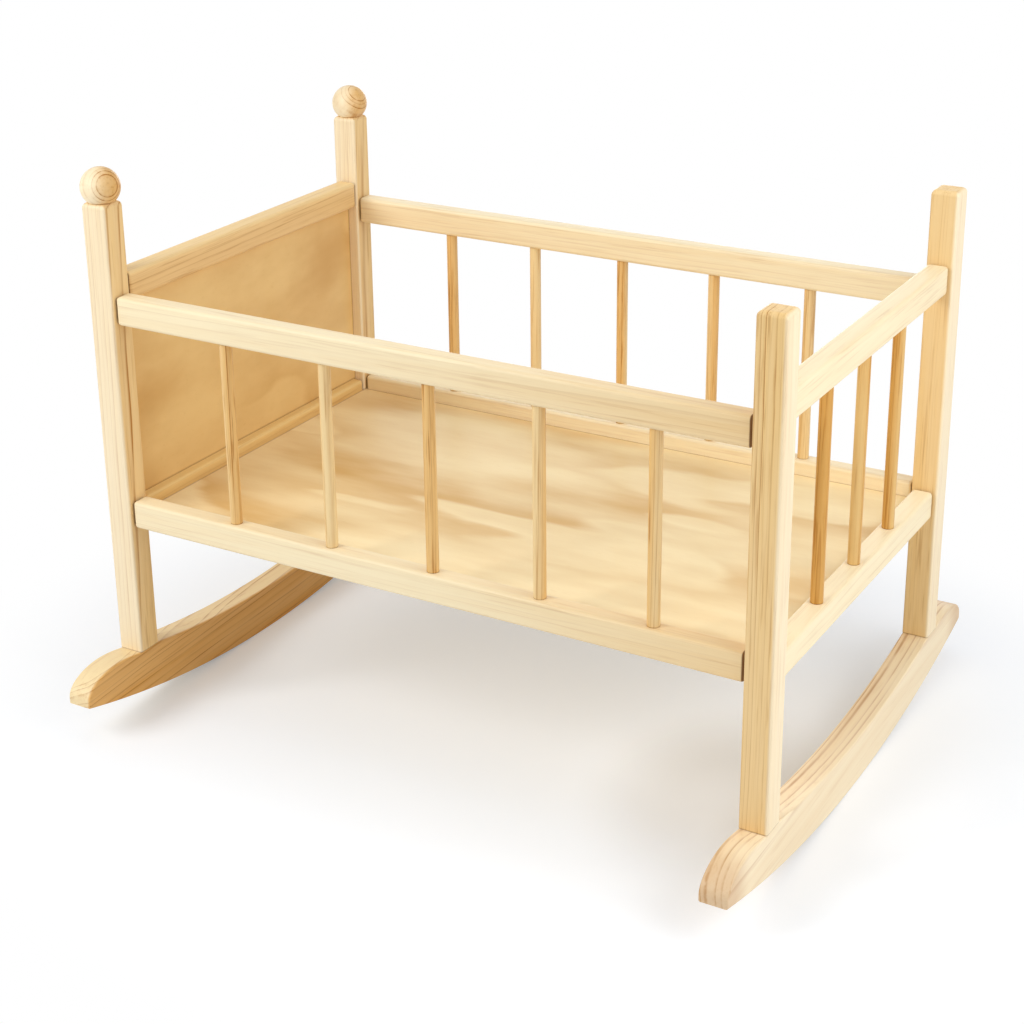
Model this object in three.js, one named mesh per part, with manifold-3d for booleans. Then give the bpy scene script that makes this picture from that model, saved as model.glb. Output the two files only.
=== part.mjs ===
// Rocking cradle in clear lacquered pine, in millimetres, +Z up.
// X runs from the head end (-X) to the foot end (+X), and Y from the front side (-Y) to the back (+Y).
// The origin is on the floor under the middle of the overall length and width, at the rockers' lowest line.

import * as THREE from 'three';
import { mergeVertices } from 'three/addons/utils/BufferGeometryUtils.js';
import Module from 'manifold-3d';

const wasm = await Module();
wasm.setup();

// Clearance between pieces that meet, and the overrun of every cut
const fit = 0.3;
const overrun = 5;

// Bed, measured clear between the posts
const bedLength = 532;
const bedWidth = 312;

// Posts
const postWidth = 22;
const postHeight = 378;
const postCornerRadius = 1.5;
const postTopRadius = 4;
const postFootLevel = 53;

// Side rails, front and back, levels of their undersides
const sideRailThickness = 16;
const sideRailHeight = 23;
const sideRailSetBack = 3.5;
const sideTopRailLevel = 335;
const sideBottomRailLevel = 164;

// End rails, head and foot, levels of their undersides
const endRailThickness = 17;
const endRailHeight = 23;
const headRailSetBack = 5;
const footRailSetBack = 3.5;
const endTopRailLevel = 350;
const endBottomRailLevel = 161;

// Rounding of every rail, along its long edges and round its ends, and how far it stops short of its posts
const railEdgeRadius = 3;
const railEndRadius = 2.5;
const railEndGap = 1;

// Spindles, and how far the first and the last one of each row stand from the posts
const spindleDiameter = 9.5;
const spindleInRail = 9;
const sideSpindleCount = 5;
const frontSpindleHeadGap = 99;
const frontSpindleFootGap = 73;
const backSpindleHeadGap = 94;
const backSpindleFootGap = 98;
const footSpindleCount = 3;
const footSpindleEndGap = 83;

// Plywood head panel, let into the head posts and head rails
const panelThickness = 4;
const panelInPost = 4;
const panelInRail = 4;

// Plywood base board, let into the four bottom rails
const boardThickness = 4;
const boardInRail = 3.5;
const boardLevel = 170.3;

// Rail dowels
const railDowelDiameter = 6;
const railDowelInPost = 6;
const railDowelInRail = 14;

// Rockers
const rockerThickness = 22;
const rockRadius = 920;
const waistHeight = 39;
const noseReach = 65;
const noseRise = 3.5;
const noseCrest = 28;
const noseTipHeight = 5;
const rockerDowelDiameter = 8;
const rockerDowelInPost = 24;
const rockerDowelInRocker = 20;

// Ball finials on the head posts
const ballDiameter = 31;
const ballFlatDiameter = 22;
const finialPinDiameter = 6;
const finialPinInPost = 14;
const finialPinInBall = 14;

// Facet counts
const roundFacets = 20;
const pinFacets = 12;
const cornerFacets = 3;
const postCornerFacets = 2;
const postTopFacets = 4;
const railEndFacets = 2;
const soleFacets = 19;
const waistFacets = 12;
const noseFacets = 8;
const ballFacets = 24;
const ballRings = 11;

// Places that follow from the sizes above
const postX = (bedLength + postWidth) / 2;
const postY = (bedWidth + postWidth) / 2;
const sideRailOffset = postWidth / 2 - sideRailSetBack - sideRailThickness / 2;
const headRailOffset = postWidth / 2 - headRailSetBack - endRailThickness / 2;
const footRailOffset = postWidth / 2 - footRailSetBack - endRailThickness / 2;
const sideRailLength = bedLength - 2 * railEndGap;
const endRailLength = bedWidth - 2 * railEndGap;
const ballRadius = ballDiameter / 2;
const ballFlatDepth = Math.sqrt(ballRadius ** 2 - (ballFlatDiameter / 2) ** 2);
const ballOverhang = ballRadius - postWidth / 2;

// Finishes
const finishes = {
  pine: { color: 0xf3d9a6, roughness: 0.5, metalness: 0 },
  plywood: { color: 0xdfba80, roughness: 0.55, metalness: 0 },
  dowel: { color: 0xdcbd8c, roughness: 0.65, metalness: 0 },
};

// Closed solid of a three.js geometry, for cutting and joining
function solidOf(geometry) {
  const bare = geometry.clone();
  bare.deleteAttribute('normal');
  bare.deleteAttribute('uv');
  const merged = mergeVertices(bare);
  const vertProperties = new Float32Array(merged.attributes.position.array);
  const triVerts = new Uint32Array(merged.index.array);
  return new wasm.Manifold(new wasm.Mesh({ numProp: 3, vertProperties, triVerts }));
}

// Named mesh of a solid in one finish
function meshOf(name, solid, finish) {
  const cut = solid.getMesh();
  const geometry = new THREE.BufferGeometry();
  geometry.setAttribute('position', new THREE.BufferAttribute(new Float32Array(cut.vertProperties), 3));
  geometry.setIndex(new THREE.BufferAttribute(new Uint32Array(cut.triVerts), 1));
  geometry.computeVertexNormals();
  const mesh = new THREE.Mesh(geometry, new THREE.MeshStandardMaterial(finishes[finish]));
  mesh.name = name;
  return mesh;
}

// Rectangle round the origin with rounded corners
function roundedRectangle(width, height, radius) {
  const shape = new THREE.Shape();
  const right = width / 2 - radius;
  const top = height / 2 - radius;
  shape.absarc(right, -top, radius, -Math.PI / 2, 0);
  shape.absarc(right, top, radius, 0, Math.PI / 2);
  shape.absarc(-right, top, radius, Math.PI / 2, Math.PI);
  shape.absarc(-right, -top, radius, Math.PI, 3 * Math.PI / 2);
  shape.closePath();
  return shape;
}

// Turns an outline's plane and its extrusion onto three axes of the cradle
function lay(geometry, across, up, along) {
  return geometry.applyMatrix4(new THREE.Matrix4().makeBasis(across, up, along));
}

const alongX = new THREE.Vector3(1, 0, 0);
const alongY = new THREE.Vector3(0, 1, 0);
const alongZ = new THREE.Vector3(0, 0, 1);

// Solid block given by its lowest and highest corners
function block(low, high) {
  const geometry = new THREE.BoxGeometry(high[0] - low[0], high[1] - low[1], high[2] - low[2]);
  geometry.translate((low[0] + high[0]) / 2, (low[1] + high[1]) / 2, (low[2] + high[2]) / 2);
  return solidOf(geometry);
}

// Round bar from a start point along a direction
function bar(diameter, length, facets, start, direction) {
  const geometry = new THREE.CylinderGeometry(diameter / 2, diameter / 2, length, facets);
  geometry.translate(0, length / 2, 0);
  geometry.applyQuaternion(new THREE.Quaternion().setFromUnitVectors(alongY, direction));
  geometry.translate(start.x, start.y, start.z);
  return solidOf(geometry);
}

// Blind hole into a face: the mouth is on the face, and the direction points into the wood
function hole(diameter, depth, facets, mouth, direction) {
  const start = mouth.clone().addScaledVector(direction, -overrun);
  return bar(diameter + 2 * fit, depth + fit + overrun, facets, start, direction);
}

// Even places of spindles between two posts, counted from the middle
function spindlePlaces(count, clearLength, firstGap, lastGap) {
  const pitch = (clearLength - firstGap - lastGap) / (count - 1);
  return Array.from({ length: count }, (_, i) => firstGap + i * pitch - clearLength / 2);
}

// Round bar in its own frame, along X and centred on the origin
function centredBar(diameter, length, facets) {
  return bar(diameter, length, facets, new THREE.Vector3(-length / 2, 0, 0), alongX);
}

// One post, its foot at the origin. endSign is -1 at the head, sideSign is -1 at the front.
function makePost(name, endSign, sideSign) {
  const section = roundedRectangle(postWidth, postWidth, postCornerRadius);
  let post = solidOf(new THREE.ExtrudeGeometry(section, {
    depth: postHeight,
    bevelEnabled: false,
    curveSegments: postCornerFacets,
  }));
  post = post.intersect(easedTop(alongX)).intersect(easedTop(alongY));

  const footHole = new THREE.Vector3(0, 0, 0);
  const cuts = [hole(rockerDowelDiameter, rockerDowelInPost, pinFacets, footHole, alongZ)];
  for (const level of [sideTopRailLevel, sideBottomRailLevel]) {
    const height = level + sideRailHeight / 2 - postFootLevel;
    const mouth = new THREE.Vector3(-endSign * postWidth / 2, sideSign * sideRailOffset, height);
    const inwards = new THREE.Vector3(endSign, 0, 0);
    cuts.push(hole(railDowelDiameter, railDowelInPost, pinFacets, mouth, inwards));
  }
  const endRailOffset = endSign < 0 ? headRailOffset : footRailOffset;
  for (const level of [endTopRailLevel, endBottomRailLevel]) {
    const height = level + endRailHeight / 2 - postFootLevel;
    const mouth = new THREE.Vector3(endSign * endRailOffset, -sideSign * postWidth / 2, height);
    const inwards = new THREE.Vector3(0, sideSign, 0);
    cuts.push(hole(railDowelDiameter, railDowelInPost, pinFacets, mouth, inwards));
  }
  if (endSign < 0) {
    const top = new THREE.Vector3(0, 0, postHeight);
    cuts.push(hole(finialPinDiameter, finialPinInPost, pinFacets, top, alongZ.clone().negate()));
    cuts.push(panelGrooveInPost(sideSign));
  }
  for (const cut of cuts) {
    post = post.subtract(cut);
  }
  const mesh = meshOf(name, post, 'pine');
  mesh.position.set(endSign * postX, sideSign * postY, postFootLevel);
  return mesh;
}

// Prism across a post whose two top corners are rounded; it eases the post's top in one direction
function easedTop(across) {
  const half = postWidth / 2;
  const shape = new THREE.Shape();
  shape.moveTo(-half, -overrun);
  shape.lineTo(half, -overrun);
  shape.lineTo(half, postHeight - postTopRadius);
  shape.absarc(half - postTopRadius, postHeight - postTopRadius, postTopRadius, 0, Math.PI / 2);
  shape.absarc(postTopRadius - half, postHeight - postTopRadius, postTopRadius, Math.PI / 2, Math.PI);
  shape.closePath();
  const depth = postWidth + 2 * overrun;
  const geometry = new THREE.ExtrudeGeometry(shape, {
    depth,
    bevelEnabled: false,
    curveSegments: postTopFacets,
  });
  geometry.translate(0, 0, -depth / 2);
  const along = new THREE.Vector3().crossVectors(across, alongZ);
  return solidOf(lay(geometry, across, alongZ, along));
}

// Groove in a head post's inner side, where the edge of the head panel sits
function panelGrooveInPost(sideSign) {
  const half = panelThickness / 2 + fit;
  const inner = -sideSign * (postWidth / 2 + overrun);
  const floor = -sideSign * (postWidth / 2 - panelInPost - fit);
  const bottom = endBottomRailLevel + endRailHeight - panelInRail - fit - postFootLevel;
  const top = endTopRailLevel + panelInRail + fit - postFootLevel;
  return block(
    [-half, Math.min(inner, floor), bottom],
    [half, Math.max(inner, floor), top],
  );
}

// Plain rail in its own frame: length along X, outer face towards +Y, centred on the origin
function railBlank(length, thickness, height) {
  const section = roundedRectangle(thickness, height, railEdgeRadius);
  const depth = length - 2 * railEndRadius;
  const geometry = new THREE.ExtrudeGeometry(section, {
    depth,
    bevelEnabled: true,
    bevelThickness: railEndRadius,
    bevelSize: railEndRadius,
    bevelOffset: -railEndRadius,
    bevelSegments: railEndFacets,
    curveSegments: cornerFacets,
  });
  geometry.translate(0, 0, -depth / 2);
  return solidOf(lay(geometry, alongY, alongZ, alongX));
}

// Dowel holes in both ends of a rail
function endHoles(length) {
  return [-1, 1].map((end) => {
    const mouth = new THREE.Vector3(end * length / 2, 0, 0);
    const inwards = new THREE.Vector3(-end, 0, 0);
    return hole(railDowelDiameter, railDowelInRail, pinFacets, mouth, inwards);
  });
}

// Spindle holes in a rail's underside (face -1) or top (face 1)
function spindleHoles(places, height, face) {
  return places.map((x) => {
    const mouth = new THREE.Vector3(x, 0, face * height / 2);
    const inwards = new THREE.Vector3(0, 0, -face);
    return hole(spindleDiameter, spindleInRail, roundFacets, mouth, inwards);
  });
}

// Groove for the base board along a rail's inner face
function boardGroove(length, thickness, height, railLevel) {
  const bottom = boardLevel - fit - railLevel - height / 2;
  return block(
    [-length / 2 - overrun, -thickness / 2 - overrun, bottom],
    [length / 2 + overrun, boardInRail + fit - thickness / 2, bottom + boardThickness + 2 * fit],
  );
}

// Groove for the head panel along a head rail's underside (face -1) or top (face 1)
function panelGrooveInRail(length, height, face) {
  const half = panelThickness / 2 + fit;
  const outer = face * (height / 2 + overrun);
  const floor = face * (height / 2 - panelInRail - fit);
  return block(
    [-length / 2 - overrun, -headRailOffset - half, Math.min(outer, floor)],
    [length / 2 + overrun, -headRailOffset + half, Math.max(outer, floor)],
  );
}

// Finished rail at its level, from its blank and its cuts
function makeRail(name, size, level, cuts) {
  let rail = railBlank(size.length, size.thickness, size.height);
  for (const cut of [...endHoles(size.length), ...cuts]) {
    rail = rail.subtract(cut);
  }
  const mesh = meshOf(name, rail, 'pine');
  mesh.position.set(0, size.offset, level + size.height / 2);
  return mesh;
}

// The two dowels that join a rail to its posts, one for each named end
function makeRailDowels(name, size, level, ends) {
  const length = railDowelInPost + railDowelInRail + railEndGap;
  return ends.map(({ word, sign }) => {
    const mesh = meshOf(`${name}_${word}`, centredBar(railDowelDiameter, length, pinFacets), 'dowel');
    const middle = (size.length + railDowelInPost - railDowelInRail + railEndGap) / 2;
    mesh.position.set(sign * middle, size.offset, level + size.height / 2);
    return mesh;
  });
}

// Upright spindles between a top and a bottom rail
function makeSpindles(name, places, size, lowerLevel, upperLevel) {
  const low = lowerLevel + size.height - spindleInRail;
  const high = upperLevel + spindleInRail;
  return places.map((x, i) => {
    const mesh = meshOf(`${name}_${i + 1}`, centredBar(spindleDiameter, high - low, roundFacets), 'pine');
    mesh.rotation.y = -Math.PI / 2;
    mesh.position.set(x, size.offset, (low + high) / 2);
    return mesh;
  });
}

// One long side in its own frame, outer face towards +Y. footSign says which way of X the foot end lies.
function makeSide(side, footSign, headGap, footGap) {
  const size = {
    length: sideRailLength,
    thickness: sideRailThickness,
    height: sideRailHeight,
    offset: sideRailOffset,
  };
  const { length, thickness, height } = size;
  const places = spindlePlaces(sideSpindleCount, bedLength, headGap, footGap).map((x) => footSign * x);
  const ends = [{ word: 'head', sign: -footSign }, { word: 'foot', sign: footSign }];
  const group = new THREE.Group();
  group.add(
    makeRail(`rail_${side}_top`, size, sideTopRailLevel, spindleHoles(places, height, -1)),
    makeRail(`rail_${side}_bottom`, size, sideBottomRailLevel, [
      ...spindleHoles(places, height, 1),
      boardGroove(length, thickness, height, sideBottomRailLevel),
    ]),
    ...makeSpindles(`spindle_${side}`, places, size, sideBottomRailLevel, sideTopRailLevel),
    ...makeRailDowels(`dowel_${side}_top`, size, sideTopRailLevel, ends),
    ...makeRailDowels(`dowel_${side}_bottom`, size, sideBottomRailLevel, ends),
  );
  return group;
}

// One end in its own frame, outer face towards +Y. backSign says which way of X the back lies.
function makeEnd(end, backSign) {
  const size = {
    length: endRailLength,
    thickness: endRailThickness,
    height: endRailHeight,
    offset: end === 'head' ? headRailOffset : footRailOffset,
  };
  const { length, thickness, height } = size;
  const ends = [{ word: 'front', sign: -backSign }, { word: 'back', sign: backSign }];
  const group = new THREE.Group();
  const topCuts = [];
  const bottomCuts = [boardGroove(length, thickness, height, endBottomRailLevel)];
  if (end === 'head') {
    topCuts.push(panelGrooveInRail(length, height, -1));
    bottomCuts.push(panelGrooveInRail(length, height, 1));
    group.add(makePanel());
  } else {
    const places = spindlePlaces(footSpindleCount, bedWidth, footSpindleEndGap, footSpindleEndGap)
      .map((x) => backSign * x);
    topCuts.push(...spindleHoles(places, height, -1));
    bottomCuts.push(...spindleHoles(places, height, 1));
    group.add(...makeSpindles(`spindle_${end}`, places, size, endBottomRailLevel, endTopRailLevel));
  }
  group.add(
    makeRail(`rail_${end}_top`, size, endTopRailLevel, topCuts),
    makeRail(`rail_${end}_bottom`, size, endBottomRailLevel, bottomCuts),
    ...makeRailDowels(`dowel_${end}_top`, size, endTopRailLevel, ends),
    ...makeRailDowels(`dowel_${end}_bottom`, size, endBottomRailLevel, ends),
  );
  return group;
}

// Head panel in the head end's frame, in the plane of the posts' centres
function makePanel() {
  const halfWidth = bedWidth / 2 + panelInPost;
  const bottom = endBottomRailLevel + endRailHeight - panelInRail;
  const top = endTopRailLevel + panelInRail;
  const low = [-halfWidth, -panelThickness / 2, bottom];
  const high = [halfWidth, panelThickness / 2, top];
  return meshOf('panel_head', block(low, high), 'plywood');
}

// Base board, with its corners notched round the posts
function makeBoard() {
  const headEdge = postX + headRailOffset - endRailThickness / 2 + boardInRail;
  const footEdge = postX + footRailOffset - endRailThickness / 2 + boardInRail;
  const sideEdge = postY + sideRailOffset - sideRailThickness / 2 + boardInRail;
  const top = boardLevel + boardThickness;
  let board = block([-headEdge, -sideEdge, boardLevel], [footEdge, sideEdge, top]);
  for (const sx of [-1, 1]) {
    for (const sy of [-1, 1]) {
      const innerX = sx * (bedLength / 2 - fit);
      const innerY = sy * (bedWidth / 2 - fit);
      const outerX = sx * (postX + overrun);
      const outerY = sy * (postY + overrun);
      board = board.subtract(block(
        [Math.min(innerX, outerX), Math.min(innerY, outerY), boardLevel - overrun],
        [Math.max(innerX, outerX), Math.max(innerY, outerY), top + overrun],
      ));
    }
  }
  return meshOf('board_base', board, 'plywood');
}

// Outline of half a rocker in Y and Z, from the sole's middle facet up round the nose to the waist.
// The sole is a circle in an odd number of facets, so that the rocker stands level on the middle one.
function rockerHalf() {
  const seat = postFootLevel - fit;
  const postOuter = bedWidth / 2 + postWidth;
  const postInner = bedWidth / 2;
  const reach = postOuter + noseReach;
  const crest = postOuter + noseCrest;
  const crestHeight = seat + noseRise;
  const soleAngle = Math.asin(reach / rockRadius);
  const step = 2 * soleAngle / soleFacets;
  const flatRise = rockRadius * (1 - Math.cos(step / 2));
  const points = [];
  for (let i = 0; i < (soleFacets + 1) / 2; i += 1) {
    const angle = step * (i + 1 / 2);
    const z = rockRadius * (1 - Math.cos(angle)) - flatRise;
    points.push(new THREE.Vector2(rockRadius * Math.sin(angle), z));
  }
  const tip = points[points.length - 1].y + noseTipHeight;
  for (let i = 0; i <= noseFacets; i += 1) {
    const angle = Math.PI / 2 * i / noseFacets;
    const y = crest + (reach - crest) * Math.cos(angle);
    points.push(new THREE.Vector2(y, tip + (crestHeight - tip) * Math.sin(angle)));
  }
  points.push(new THREE.Vector2(postOuter, seat));
  const dip = seat - waistHeight;
  const waistRadius = (postInner ** 2 + dip ** 2) / (2 * dip);
  const waistAngle = Math.asin(postInner / waistRadius);
  for (let i = 0; i < waistFacets / 2; i += 1) {
    const angle = waistAngle * (1 - 2 * i / waistFacets);
    const z = waistHeight + waistRadius * (1 - Math.cos(angle));
    points.push(new THREE.Vector2(waistRadius * Math.sin(angle), z));
  }
  return points;
}

// One rocker across the width, under the two posts of one end
function makeRocker(name, endSign) {
  const half = rockerHalf();
  const mirrored = half.map((point) => new THREE.Vector2(-point.x, point.y)).reverse();
  const waist = new THREE.Vector2(0, waistHeight);
  const shape = new THREE.Shape([...half, waist, ...mirrored]);
  const geometry = new THREE.ExtrudeGeometry(shape, { depth: rockerThickness, bevelEnabled: false });
  geometry.translate(0, 0, -rockerThickness / 2);
  let rocker = solidOf(lay(geometry, alongY, alongZ, alongX));
  for (const side of [-1, 1]) {
    const mouth = new THREE.Vector3(0, side * postY, postFootLevel - fit);
    rocker = rocker.subtract(
      hole(rockerDowelDiameter, rockerDowelInRocker, pinFacets, mouth, alongZ.clone().negate()),
    );
  }
  const mesh = meshOf(name, rocker, 'pine');
  mesh.position.x = endSign * postX;
  return mesh;
}

// Upright dowel through the joint between a rocker and a post
function makeRockerDowel(name, endSign, sideSign) {
  const length = rockerDowelInPost + rockerDowelInRocker + fit;
  const mesh = meshOf(name, centredBar(rockerDowelDiameter, length, pinFacets), 'dowel');
  mesh.rotation.y = -Math.PI / 2;
  const middle = postFootLevel + (rockerDowelInPost - rockerDowelInRocker - fit) / 2;
  mesh.position.set(endSign * postX, sideSign * postY, middle);
  return mesh;
}

// Turned ball with a flat seat, its flat on the post's top
function makeFinial(name, sideSign) {
  const flatAngle = Math.asin(ballFlatDiameter / ballDiameter);
  const profile = [new THREE.Vector2(0, -ballFlatDepth)];
  for (let i = 0; i <= ballRings; i += 1) {
    const angle = flatAngle + (Math.PI - flatAngle) * i / ballRings;
    const radius = i === ballRings ? 0 : ballRadius * Math.sin(angle);
    profile.push(new THREE.Vector2(radius, -ballRadius * Math.cos(angle)));
  }
  const geometry = new THREE.LatheGeometry(profile, ballFacets);
  geometry.rotateX(Math.PI / 2);
  const mouth = new THREE.Vector3(0, 0, -ballFlatDepth);
  const pinHole = hole(finialPinDiameter, finialPinInBall, pinFacets, mouth, alongZ);
  const mesh = meshOf(name, solidOf(geometry).subtract(pinHole), 'pine');
  mesh.position.set(-postX, sideSign * postY, postFootLevel + postHeight + fit + ballFlatDepth);
  return mesh;
}

// Pin that holds a ball on its post
function makeFinialPin(name, sideSign) {
  const length = finialPinInPost + finialPinInBall + fit;
  const mesh = meshOf(name, centredBar(finialPinDiameter, length, pinFacets), 'dowel');
  mesh.rotation.y = -Math.PI / 2;
  const middle = postFootLevel + postHeight + (finialPinInBall - finialPinInPost + fit) / 2;
  mesh.position.set(-postX, sideSign * postY, middle);
  return mesh;
}

// The whole cradle
const cradle = new THREE.Group();
const endSigns = { head: -1, foot: 1 };
const sideSigns = { front: -1, back: 1 };

for (const [end, endSign] of Object.entries(endSigns)) {
  for (const [side, sideSign] of Object.entries(sideSigns)) {
    cradle.add(makePost(`post_${end}_${side}`, endSign, sideSign));
    cradle.add(makeRockerDowel(`dowel_rocker_${end}_${side}`, endSign, sideSign));
  }
  cradle.add(makeRocker(`rocker_${end}`, endSign));
}

const frontSide = makeSide('front', -1, frontSpindleHeadGap, frontSpindleFootGap);
frontSide.rotation.z = Math.PI;
frontSide.position.y = -postY;
const backSide = makeSide('back', 1, backSpindleHeadGap, backSpindleFootGap);
backSide.position.y = postY;

const headEnd = makeEnd('head', 1);
headEnd.rotation.z = Math.PI / 2;
headEnd.position.x = -postX;
const footEnd = makeEnd('foot', -1);
footEnd.rotation.z = -Math.PI / 2;
footEnd.position.x = postX;

cradle.add(frontSide, backSide, headEnd, footEnd, makeBoard());

for (const [side, sideSign] of Object.entries(sideSigns)) {
  cradle.add(makeFinial(`finial_${side}`, sideSign));
  cradle.add(makeFinialPin(`finial_pin_${side}`, sideSign));
}

// The balls overhang the head posts only, so this puts the middle of the overall length over the origin
cradle.position.x = ballOverhang / 2;

export default cradle;
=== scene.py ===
"""Rocking cradle in clear lacquered pine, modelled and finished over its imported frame, in metres, +Z up.

X runs from the head end (-X) to the foot end (+X), and Y from the front side (-Y) to the back (+Y).
"""

import sys

import logging
import math
from abc import ABC, abstractmethod
from dataclasses import dataclass, field, replace
from enum import Enum
from typing import Callable, ClassVar, Iterable, Optional, Union

import bmesh
import bpy
from mathutils import Matrix, Vector


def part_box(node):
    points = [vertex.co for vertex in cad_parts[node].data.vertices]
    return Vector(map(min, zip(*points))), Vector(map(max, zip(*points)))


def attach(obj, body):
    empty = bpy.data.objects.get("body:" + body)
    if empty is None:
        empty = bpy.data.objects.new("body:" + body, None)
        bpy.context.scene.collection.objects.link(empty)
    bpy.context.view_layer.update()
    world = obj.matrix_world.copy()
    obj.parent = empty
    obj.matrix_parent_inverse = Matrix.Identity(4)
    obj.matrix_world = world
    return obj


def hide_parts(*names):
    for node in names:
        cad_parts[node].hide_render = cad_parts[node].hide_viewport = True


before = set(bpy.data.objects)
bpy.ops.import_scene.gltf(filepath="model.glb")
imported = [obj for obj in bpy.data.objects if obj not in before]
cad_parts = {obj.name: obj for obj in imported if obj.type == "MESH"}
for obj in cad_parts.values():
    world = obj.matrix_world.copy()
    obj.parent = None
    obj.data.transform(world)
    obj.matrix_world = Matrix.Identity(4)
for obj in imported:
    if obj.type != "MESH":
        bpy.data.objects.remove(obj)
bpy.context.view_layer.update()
RELIEF_DEPTH = 0.0002

log = logging.getLogger("cradle")

Colour = tuple[float, float, float]
Place = tuple[float, float, float]
Spot = tuple[float, float]
Number = Union[float, "Value"]
Node = bpy.types.Node
Socket = bpy.types.NodeSocket
Object = bpy.types.Object
Material = bpy.types.Material
Axes = tuple["Value", "Value", "Value"]


def srgb(code: str) -> Colour:
    """Turns a colour code such as "F3D9A6" into the linear colour that a shader takes."""
    channels = [int(code[i:i + 2], 16) / 255 for i in (0, 2, 4)]
    return tuple(c / 12.92 if c <= 0.04045 else ((c + 0.055) / 1.055) ** 2.4 for c in channels)


class Rise(Enum):
    """Values between which an effect rises smoothly from nothing to full."""

    BROAD_STREAK = (0.38, 0.72)
    NARROW_STREAK = (0.35, 0.75)
    FIRM_LINE = (0.30, 0.62)
    DASH = (0.50, 0.66)
    DASH_PATCH = (0.42, 0.62)
    FIBRE = (0.50, 0.80)
    EARLYWOOD = (0.20, 0.92)
    BAND_END = (0.90, 1.0)
    LATEWOOD_END = (0.93, 1.0)
    PLY_WEDGE = (0.10, 0.88)
    PLY_PATCH = (0.38, 0.60)
    PLY_SOFT = (0.3, 0.7)
    PLY_PORE = (0.55, 0.8)


class Value:
    """A number socket of a node tree, on which Python's operators add Math nodes."""

    def __init__(self, graph: "Graph", socket: Socket) -> None:
        """Wraps an output socket of a graph that carries a number."""
        self.graph = graph
        self.socket = socket

    def _math(self, operation: str, *terms: Number) -> "Value":
        """Adds a Math node over the terms and returns its result."""
        return self.graph.value("ShaderNodeMath", {"operation": operation}, dict(enumerate(terms)))

    def __add__(self, other: Number) -> "Value":
        """Adds two values."""
        return self._math("ADD", self, other)

    __radd__ = __add__

    def __sub__(self, other: Number) -> "Value":
        """Takes another value from this one."""
        return self._math("SUBTRACT", self, other)

    def __rsub__(self, other: Number) -> "Value":
        """Takes this value from another one."""
        return self._math("SUBTRACT", other, self)

    def __mul__(self, other: Number) -> "Value":
        """Multiplies two values."""
        return self._math("MULTIPLY", self, other)

    __rmul__ = __mul__

    def __truediv__(self, other: Number) -> "Value":
        """Divides this value by another one."""
        return self._math("DIVIDE", self, other)

    def __pow__(self, other: Number) -> "Value":
        """Raises this value to a power."""
        return self._math("POWER", self, other)

    def __abs__(self) -> "Value":
        """Drops the value's sign."""
        return self._math("ABSOLUTE", self)

    def fraction(self) -> "Value":
        """Returns the value's part after the decimal point."""
        return self._math("FRACT", self)

    def floor(self) -> "Value":
        """Returns the whole number below the value."""
        return self._math("FLOOR", self)

    def above(self, least: float) -> "Value":
        """Keeps the value at or above the least one."""
        return self._math("MAXIMUM", self, least)

    def below(self, most: Number) -> "Value":
        """Keeps the value at or below the greatest one."""
        return self._math("MINIMUM", self, most)

    def steps(self, low: float, high: float) -> "Value":
        """Rises smoothly from 0, where the value is low, to 1, where it is high."""
        return self.graph.value(
            "ShaderNodeMapRange",
            {"interpolation_type": "SMOOTHSTEP"},
            {"Value": self, "From Min": low, "From Max": high},
        )

    def rise(self, rise: Rise) -> "Value":
        """Rises smoothly from 0 to 1 between the two values of a named rise."""
        return self.steps(*rise.value)


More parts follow.
